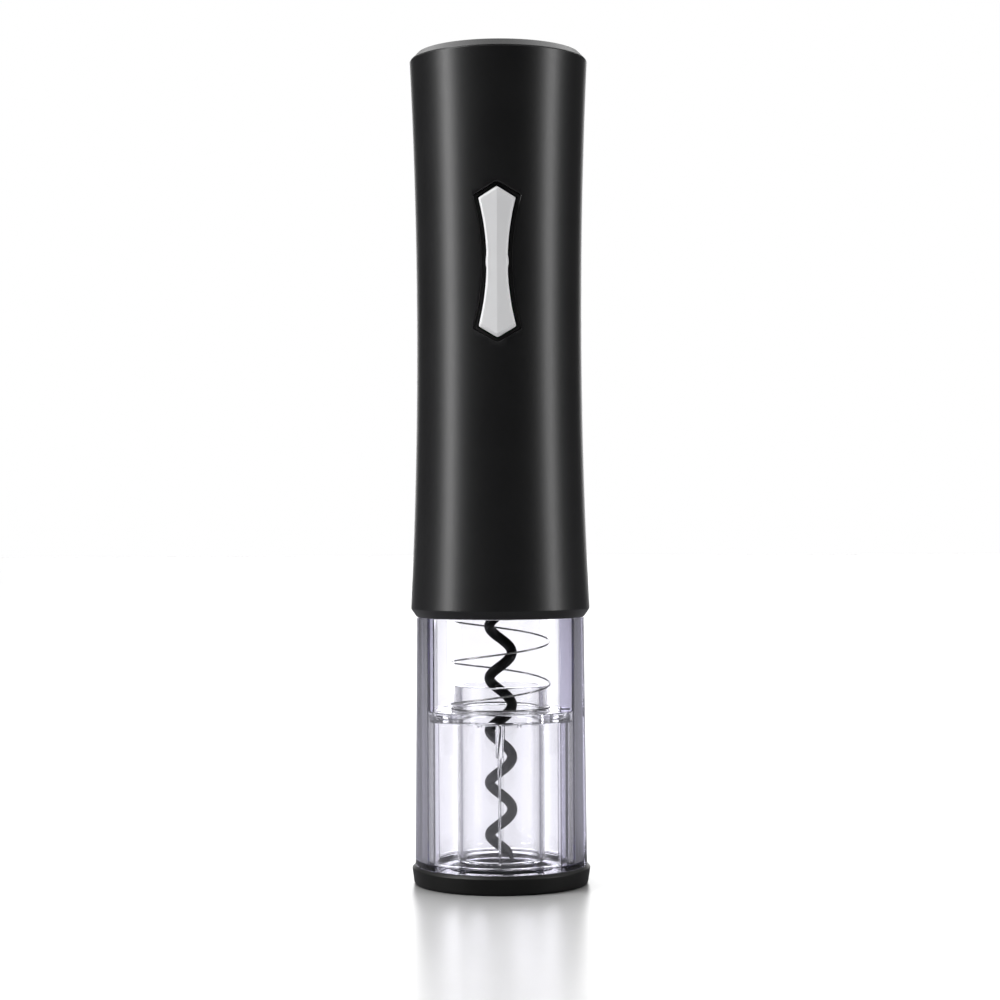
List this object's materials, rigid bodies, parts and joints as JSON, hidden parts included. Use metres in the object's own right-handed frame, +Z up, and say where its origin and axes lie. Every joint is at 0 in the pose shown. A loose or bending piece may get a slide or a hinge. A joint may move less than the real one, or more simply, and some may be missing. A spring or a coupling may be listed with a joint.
{
  "type": "electric wine opener",
  "caption": "Upright battery-powered wine opener: waisted black casing with a rocker, over a clear tube with worm, sliding cork guide and spring.",
  "frame": {"origin": "centre of the foot ring's underside, on the surface that the opener stands on", "axes": "+Z up along the worm's axis, -Y towards the side with the rocker, +X to the right seen from that side"},
  "size_m": [0.0546, 0.0544, 0.253],
  "materials": {
    "casing_black": "satin",
    "foot_black": "satin",
    "frame_black": "satin",
    "button_silver": "satin",
    "clear_plastic": "gloss",
    "guide_clear": "gloss",
    "spring_steel": "polished",
    "worm_coating": "satin",
    "steel": "satin",
    "brass": "satin",
    "grey_plastic": "matte",
    "gear_plastic": "satin",
    "seal_rubber": "matte",
    "board_green": "satin",
    "component_blue": "satin",
    "cell_wrap": "satin",
    "lead_red": "satin",
    "lead_black": "satin",
    "magnet_ferrite": "matte"
  },
  "bodies": {
    "housing": {"body_shell": "casing_black", "button_frame": "frame_black", "rocker_pin": "steel", "switch_body": "steel", "circuit_board": "board_green", "board_parts": "component_blue", "board_screws": "steel", "chassis_front": "grey_plastic", "chassis_back": "grey_plastic", "chassis_screws": "steel", "battery_holder": "grey_plastic", "aa_cell_1": "cell_wrap", "aa_cell_2": "cell_wrap", "aa_cell_3": "cell_wrap", "aa_cell_4": "cell_wrap", "contact_springs": "spring_steel", "contact_plates": "steel", "motor_can": "steel", "motor_end_cap": "gear_plastic", "motor_terminals": "brass", "motor_magnets": "magnet_ferrite", "motor_screws": "steel", "gearbox_housing": "grey_plastic", "gearbox_cover": "steel", "gearbox_screws": "steel", "thrust_washer": "steel", "output_bush": "brass", "nose_plate": "frame_black", "nose_screws": "steel", "guide_spring": "spring_steel", "clear_tube": "clear_plastic", "foot_ring": "foot_black", "red_lead": "lead_red", "black_lead": "lead_black"},
    "rocker": {"rocker_button": "button_silver"},
    "slider": {"switch_slider": "gear_plastic"},
    "cap": {"battery_cap": "casing_black", "cap_seal": "seal_rubber", "cap_contact": "steel", "cap_springs": "spring_steel"},
    "output": {"worm": "worm_coating", "worm_holder": "frame_black", "output_carrier": "steel"},
    "second_planet_1": {"second_planet_1": "gear_plastic"},
    "second_planet_2": {"second_planet_2": "gear_plastic"},
    "second_planet_3": {"second_planet_3": "gear_plastic"},
    "middle_carrier": {"first_carrier": "steel"},
    "first_planet_1": {"first_planet_1": "gear_plastic"},
    "first_planet_2": {"first_planet_2": "gear_plastic"},
    "first_planet_3": {"first_planet_3": "gear_plastic"},
    "rotor": {"motor_rotor": "steel", "motor_pinion": "brass"},
    "guide": {"cork_guide": "guide_clear"}
  },
  "joints": [
    {"name": "rocker_tilt", "type": "hinge", "parent": "housing", "child": "rocker", "pos_m": [0, -0.0206, 0.1871], "axis": [1, 0, 0], "range_deg": [-4, 4], "stiffness_Nm_per_rad": 0.06},
    {"name": "slider_shift", "type": "slide", "parent": "housing", "child": "slider", "axis": [0, 0, 1], "range_m": [-0.001, 0.001]},
    {"name": "cap_lift", "type": "slide", "parent": "housing", "child": "cap", "axis": [0, 0, 1], "range_m": [0, 0.03]},
    {"name": "worm_spin", "type": "hinge", "parent": "housing", "child": "output", "pos_m": [0, 0, 0.09], "axis": [0, 0, 1], "continuous": true},
    {"name": "middle_spin", "type": "hinge", "parent": "housing", "child": "middle_carrier", "pos_m": [0, 0, 0.1], "axis": [0, 0, 1], "continuous": true},
    {"name": "motor_spin", "type": "hinge", "parent": "housing", "child": "rotor", "pos_m": [0, 0, 0.13], "axis": [0, 0, 1], "continuous": true},
    {"name": "guide_slide", "type": "slide", "parent": "housing", "child": "guide", "axis": [0, 0, 1], "range_m": [0, 0.026], "stiffness_N_per_m": 150, "springref_m": -0.01, "deforming": ["guide_spring"]},
    {"name": "second_planet_1_spin", "type": "hinge", "parent": "output", "child": "second_planet_1", "pos_m": [0.009, 0, 0.102], "axis": [0, 0, 1], "continuous": true},
    {"name": "second_planet_2_spin", "type": "hinge", "parent": "output", "child": "second_planet_2", "pos_m": [-0.0045, 0.00779, 0.102], "axis": [0, 0, 1], "continuous": true},
    {"name": "second_planet_3_spin", "type": "hinge", "parent": "output", "child": "second_planet_3", "pos_m": [-0.0045, -0.00779, 0.102], "axis": [0, 0, 1], "continuous": true},
    {"name": "first_planet_1_spin", "type": "hinge", "parent": "middle_carrier", "child": "first_planet_1", "pos_m": [0.009, 0, 0.11], "axis": [0, 0, 1], "continuous": true},
    {"name": "first_planet_2_spin", "type": "hinge", "parent": "middle_carrier", "child": "first_planet_2", "pos_m": [-0.0045, 0.00779, 0.11], "axis": [0, 0, 1], "continuous": true},
    {"name": "first_planet_3_spin", "type": "hinge", "parent": "middle_carrier", "child": "first_planet_3", "pos_m": [-0.0045, -0.00779, 0.11], "axis": [0, 0, 1], "continuous": true}
  ],
  "couplings": [
    {"joint": "slider_shift", "follows": "rocker_tilt", "m_per_rad": 0.01},
    {"joint": "worm_spin", "follows": "motor_spin", "ratio": 0.027778},
    {"joint": "middle_spin", "follows": "motor_spin", "ratio": 0.16667},
    {"joint": "second_planet_1_spin", "follows": "motor_spin", "ratio": -0.069444},
    {"joint": "second_planet_2_spin", "follows": "motor_spin", "ratio": -0.069444},
    {"joint": "second_planet_3_spin", "follows": "motor_spin", "ratio": -0.069444},
    {"joint": "first_planet_1_spin", "follows": "motor_spin", "ratio": -0.41667},
    {"joint": "first_planet_2_spin", "follows": "motor_spin", "ratio": -0.41667},
    {"joint": "first_planet_3_spin", "follows": "motor_spin", "ratio": -0.41667}
  ]
}
